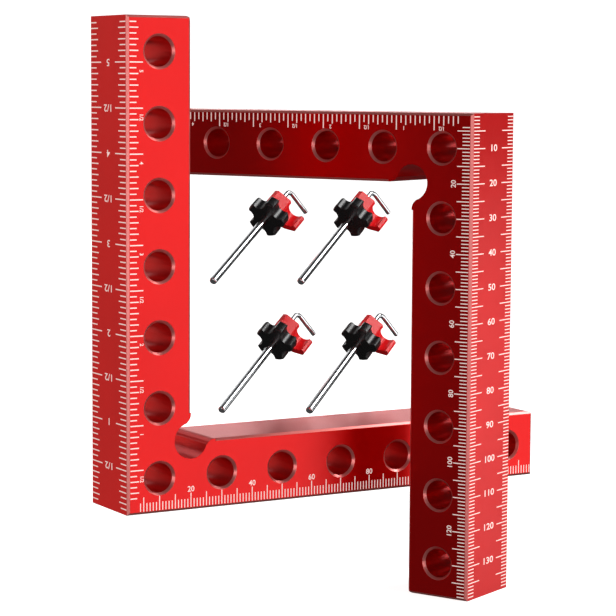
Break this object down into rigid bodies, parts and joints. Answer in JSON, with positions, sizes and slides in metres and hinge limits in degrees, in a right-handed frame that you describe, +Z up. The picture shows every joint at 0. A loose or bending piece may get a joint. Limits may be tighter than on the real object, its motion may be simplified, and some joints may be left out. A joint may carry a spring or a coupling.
{
  "type": "corner clamp set",
  "caption": "Drilled red aluminium positioning squares with inch and metric scales and small hook clamps with star knobs, for holding panels at right angles while glue sets.",
  "frame": {"origin": "middle of the left square's corner hole, on its axis and half way through the square", "axes": "+Z up along the upright legs, +X to the right and -Y towards the viewer as in the picture, with the two squares turned about Z from the X axis"},
  "size_m": [0.1388, 0.1404, 0.1667],
  "materials": {
    "red_anodised": "satin anodised",
    "red_plastic": "gloss",
    "black_plastic": "semi-gloss",
    "tube_steel": "polished",
    "hook_steel": "polished",
    "plate_steel": "zinc plated",
    "brass": "turned"
  },
  "bodies": {
    "set_base": {"left_square": "red_anodised", "right_square": "red_anodised", "ul_hook": "hook_steel", "ur_hook": "hook_steel", "ll_hook": "hook_steel", "lr_hook": "hook_steel"},
    "ul_foot_body": {"ul_foot": "red_plastic", "ul_bush": "brass"},
    "ul_knob_body": {"ul_knob": "black_plastic", "ul_ring": "plate_steel", "ul_insert": "brass", "ul_tube": "tube_steel", "ul_plug": "tube_steel"},
    "ur_foot_body": {"ur_foot": "red_plastic", "ur_bush": "brass"},
    "ur_knob_body": {"ur_knob": "black_plastic", "ur_ring": "plate_steel", "ur_insert": "brass", "ur_tube": "tube_steel", "ur_plug": "tube_steel"},
    "ll_foot_body": {"ll_foot": "red_plastic", "ll_bush": "brass"},
    "ll_knob_body": {"ll_knob": "black_plastic", "ll_ring": "plate_steel", "ll_insert": "brass", "ll_tube": "tube_steel", "ll_plug": "tube_steel"},
    "lr_foot_body": {"lr_foot": "red_plastic", "lr_bush": "brass"},
    "lr_knob_body": {"lr_knob": "black_plastic", "lr_ring": "plate_steel", "lr_insert": "brass", "lr_tube": "tube_steel", "lr_plug": "tube_steel"}
  },
  "joints": [
    {"name": "ul_slide", "type": "slide", "parent": "set_base", "child": "ul_foot_body", "axis": [0.4312, 0.759, 0.4879], "range_m": [-0.0098, 0.0056]},
    {"name": "ul_turn", "type": "hinge", "parent": "ul_foot_body", "child": "ul_knob_body", "pos_m": [0.0332, 0.1088, 0.0661], "axis": [0.4312, 0.759, 0.4879], "range_deg": [-10080.1, 5760.1]},
    {"name": "ur_slide", "type": "slide", "parent": "set_base", "child": "ur_foot_body", "axis": [0.4312, 0.759, 0.4879], "range_m": [-0.0098, 0.0056]},
    {"name": "ur_turn", "type": "hinge", "parent": "ur_foot_body", "child": "ur_knob_body", "pos_m": [0.0614, 0.1088, 0.0661], "axis": [0.4312, 0.759, 0.4879], "range_deg": [-10080.1, 5760.1]},
    {"name": "ll_slide", "type": "slide", "parent": "set_base", "child": "ll_foot_body", "axis": [0.4312, 0.759, 0.4879], "range_m": [-0.0098, 0.0056]},
    {"name": "ll_turn", "type": "hinge", "parent": "ll_foot_body", "child": "ll_knob_body", "pos_m": [0.0362, 0.1054, 0.0247], "axis": [0.4312, 0.759, 0.4879], "range_deg": [-10080.1, 5760.1]},
    {"name": "lr_slide", "type": "slide", "parent": "set_base", "child": "lr_foot_body", "axis": [0.4312, 0.759, 0.4879], "range_m": [-0.0098, 0.0056]},
    {"name": "lr_turn", "type": "hinge", "parent": "lr_foot_body", "child": "lr_knob_body", "pos_m": [0.0644, 0.1054, 0.0247], "axis": [0.4312, 0.759, 0.4879], "range_deg": [-10080.1, 5760.1]}
  ],
  "couplings": [
    {"joint": "ul_turn", "follows": "ul_slide", "rad_per_m": 17952},
    {"joint": "ur_turn", "follows": "ur_slide", "rad_per_m": 17952},
    {"joint": "ll_turn", "follows": "ll_slide", "rad_per_m": 17952},
    {"joint": "lr_turn", "follows": "lr_slide", "rad_per_m": 17952}
  ]
}
